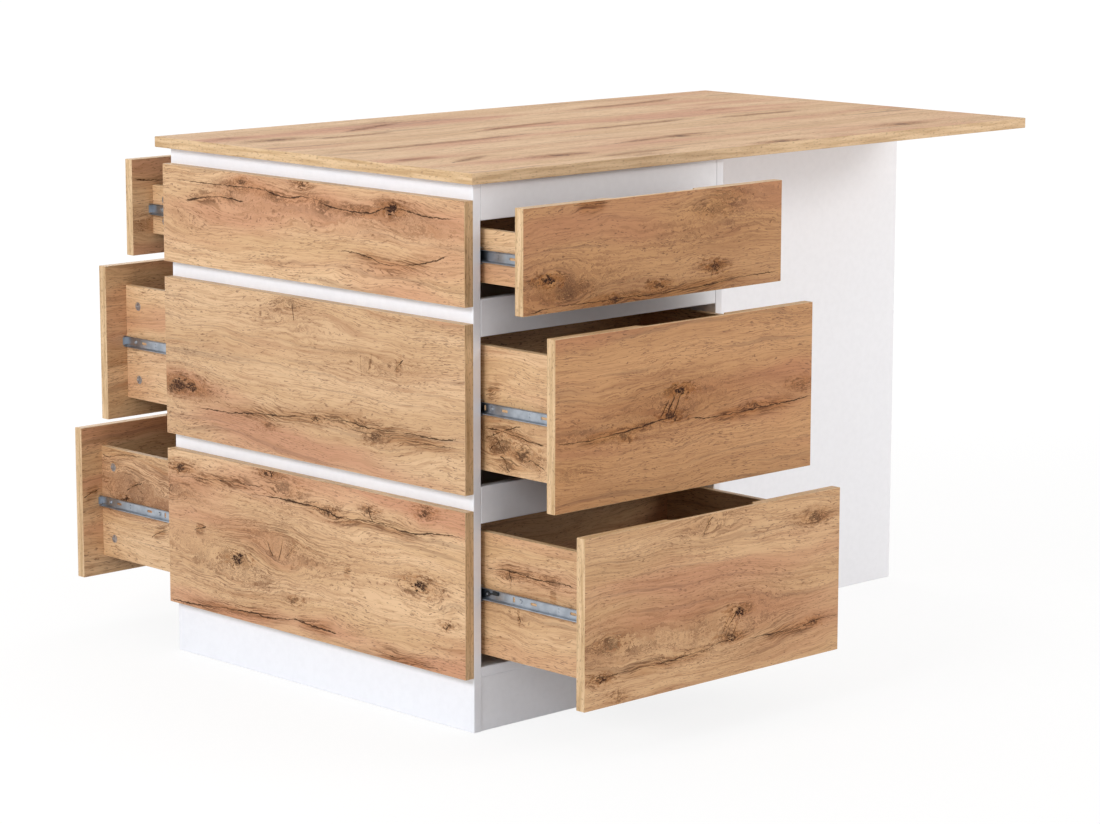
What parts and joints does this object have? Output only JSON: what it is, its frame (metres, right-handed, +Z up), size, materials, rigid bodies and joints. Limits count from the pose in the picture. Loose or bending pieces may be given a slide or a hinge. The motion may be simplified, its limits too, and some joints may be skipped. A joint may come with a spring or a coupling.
{
  "type": "kitchen island unit",
  "caption": "Kitchen island with an oak-decor worktop, drawers on both long sides, false fronts on one end and a support panel under the free end of the worktop.",
  "frame": {"origin": "on the floor, under the middle of the worktop", "axes": "+X along the worktop, from the end with the false fronts to the free end over the support panel; +Y towards the drawers on the left of the picture; +Z up"},
  "size_m": [1.36, 1.3, 0.9],
  "materials": {
    "oak_worktop": "oak decor laminate with narrow planks, satin",
    "oak_front": "wild oak decor with knots and cracks, matt",
    "oak_box": "oak decor, matt",
    "edge_band": "printed plastic edge band, satin",
    "white_board": "white melamine-faced particle board, fine pearl",
    "hardboard": "bare brown hardboard",
    "zinc_steel": "zinc-plated, bluish"
  },
  "bodies": {
    "cabinet": {"worktop": "oak_worktop", "worktop_edge_band": "edge_band", "end_panel": "white_board", "inner_side_panel": "white_board", "centre_panel": "white_board", "bottom_board": "white_board", "top_rails": "white_board", "middle_rails": "white_board", "plinth_boards": "white_board", "support_panel": "white_board", "false_front_top": "oak_front", "false_front_middle": "oak_front", "false_front_bottom": "oak_front", "cabinet_runners": "zinc_steel", "cabinet_cams": "zinc_steel", "cabinet_screws": "zinc_steel", "worktop_brackets": "zinc_steel"},
    "right_bottom_drawer": {"right_bottom_drawer_front": "oak_front", "right_bottom_drawer_left_side": "oak_box", "right_bottom_drawer_right_side": "oak_box", "right_bottom_drawer_back": "oak_box", "right_bottom_drawer_bottom_panel": "hardboard", "right_bottom_drawer_fittings": "zinc_steel"},
    "right_bottom_ball_cages": {"right_bottom_drawer_ball_cages": "zinc_steel"},
    "right_middle_drawer": {"right_middle_drawer_front": "oak_front", "right_middle_drawer_left_side": "oak_box", "right_middle_drawer_right_side": "oak_box", "right_middle_drawer_back": "oak_box", "right_middle_drawer_bottom_panel": "hardboard", "right_middle_drawer_fittings": "zinc_steel"},
    "right_middle_ball_cages": {"right_middle_drawer_ball_cages": "zinc_steel"},
    "right_top_drawer": {"right_top_drawer_front": "oak_front", "right_top_drawer_left_side": "oak_box", "right_top_drawer_right_side": "oak_box", "right_top_drawer_back": "oak_box", "right_top_drawer_bottom_panel": "hardboard", "right_top_drawer_fittings": "zinc_steel"},
    "right_top_ball_cages": {"right_top_drawer_ball_cages": "zinc_steel"},
    "left_bottom_drawer": {"left_bottom_drawer_front": "oak_front", "left_bottom_drawer_left_side": "oak_box", "left_bottom_drawer_right_side": "oak_box", "left_bottom_drawer_back": "oak_box", "left_bottom_drawer_bottom_panel": "hardboard", "left_bottom_drawer_fittings": "zinc_steel"},
    "left_bottom_ball_cages": {"left_bottom_drawer_ball_cages": "zinc_steel"},
    "left_middle_drawer": {"left_middle_drawer_front": "oak_front", "left_middle_drawer_left_side": "oak_box", "left_middle_drawer_right_side": "oak_box", "left_middle_drawer_back": "oak_box", "left_middle_drawer_bottom_panel": "hardboard", "left_middle_drawer_fittings": "zinc_steel"},
    "left_middle_ball_cages": {"left_middle_drawer_ball_cages": "zinc_steel"},
    "left_top_drawer": {"left_top_drawer_front": "oak_front", "left_top_drawer_left_side": "oak_box", "left_top_drawer_right_side": "oak_box", "left_top_drawer_back": "oak_box", "left_top_drawer_bottom_panel": "hardboard", "left_top_drawer_fittings": "zinc_steel"},
    "left_top_ball_cages": {"left_top_drawer_ball_cages": "zinc_steel"}
  },
  "joints": [
    {"name": "right_bottom_drawer_slide", "type": "slide", "parent": "cabinet", "child": "right_bottom_drawer", "axis": [0, -1, 0], "range_m": [-0.25, 0.01]},
    {"name": "right_bottom_cage_slide", "type": "slide", "parent": "cabinet", "child": "right_bottom_ball_cages", "axis": [0, -1, 0], "range_m": [-0.125, 0.005]},
    {"name": "right_middle_drawer_slide", "type": "slide", "parent": "cabinet", "child": "right_middle_drawer", "axis": [0, -1, 0], "range_m": [-0.184, 0.076]},
    {"name": "right_middle_cage_slide", "type": "slide", "parent": "cabinet", "child": "right_middle_ball_cages", "axis": [0, -1, 0], "range_m": [-0.092, 0.038]},
    {"name": "right_top_drawer_slide", "type": "slide", "parent": "cabinet", "child": "right_top_drawer", "axis": [0, -1, 0], "range_m": [-0.113, 0.147]},
    {"name": "right_top_cage_slide", "type": "slide", "parent": "cabinet", "child": "right_top_ball_cages", "axis": [0, -1, 0], "range_m": [-0.0565, 0.0735]},
    {"name": "left_bottom_drawer_slide", "type": "slide", "parent": "cabinet", "child": "left_bottom_drawer", "axis": [0, 1, 0], "range_m": [-0.25, 0.01]},
    {"name": "left_bottom_cage_slide", "type": "slide", "parent": "cabinet", "child": "left_bottom_ball_cages", "axis": [0, 1, 0], "range_m": [-0.125, 0.005]},
    {"name": "left_middle_drawer_slide", "type": "slide", "parent": "cabinet", "child": "left_middle_drawer", "axis": [0, 1, 0], "range_m": [-0.168, 0.092]},
    {"name": "left_middle_cage_slide", "type": "slide", "parent": "cabinet", "child": "left_middle_ball_cages", "axis": [0, 1, 0], "range_m": [-0.084, 0.046]},
    {"name": "left_top_drawer_slide", "type": "slide", "parent": "cabinet", "child": "left_top_drawer", "axis": [0, 1, 0], "range_m": [-0.086, 0.174]},
    {"name": "left_top_cage_slide", "type": "slide", "parent": "cabinet", "child": "left_top_ball_cages", "axis": [0, 1, 0], "range_m": [-0.043, 0.087]}
  ],
  "couplings": [
    {"joint": "right_bottom_cage_slide", "follows": "right_bottom_drawer_slide", "ratio": 0.5},
    {"joint": "right_middle_cage_slide", "follows": "right_middle_drawer_slide", "ratio": 0.5},
    {"joint": "right_top_cage_slide", "follows": "right_top_drawer_slide", "ratio": 0.5},
    {"joint": "left_bottom_cage_slide", "follows": "left_bottom_drawer_slide", "ratio": 0.5},
    {"joint": "left_middle_cage_slide", "follows": "left_middle_drawer_slide", "ratio": 0.5},
    {"joint": "left_top_cage_slide", "follows": "left_top_drawer_slide", "ratio": 0.5}
  ]
}
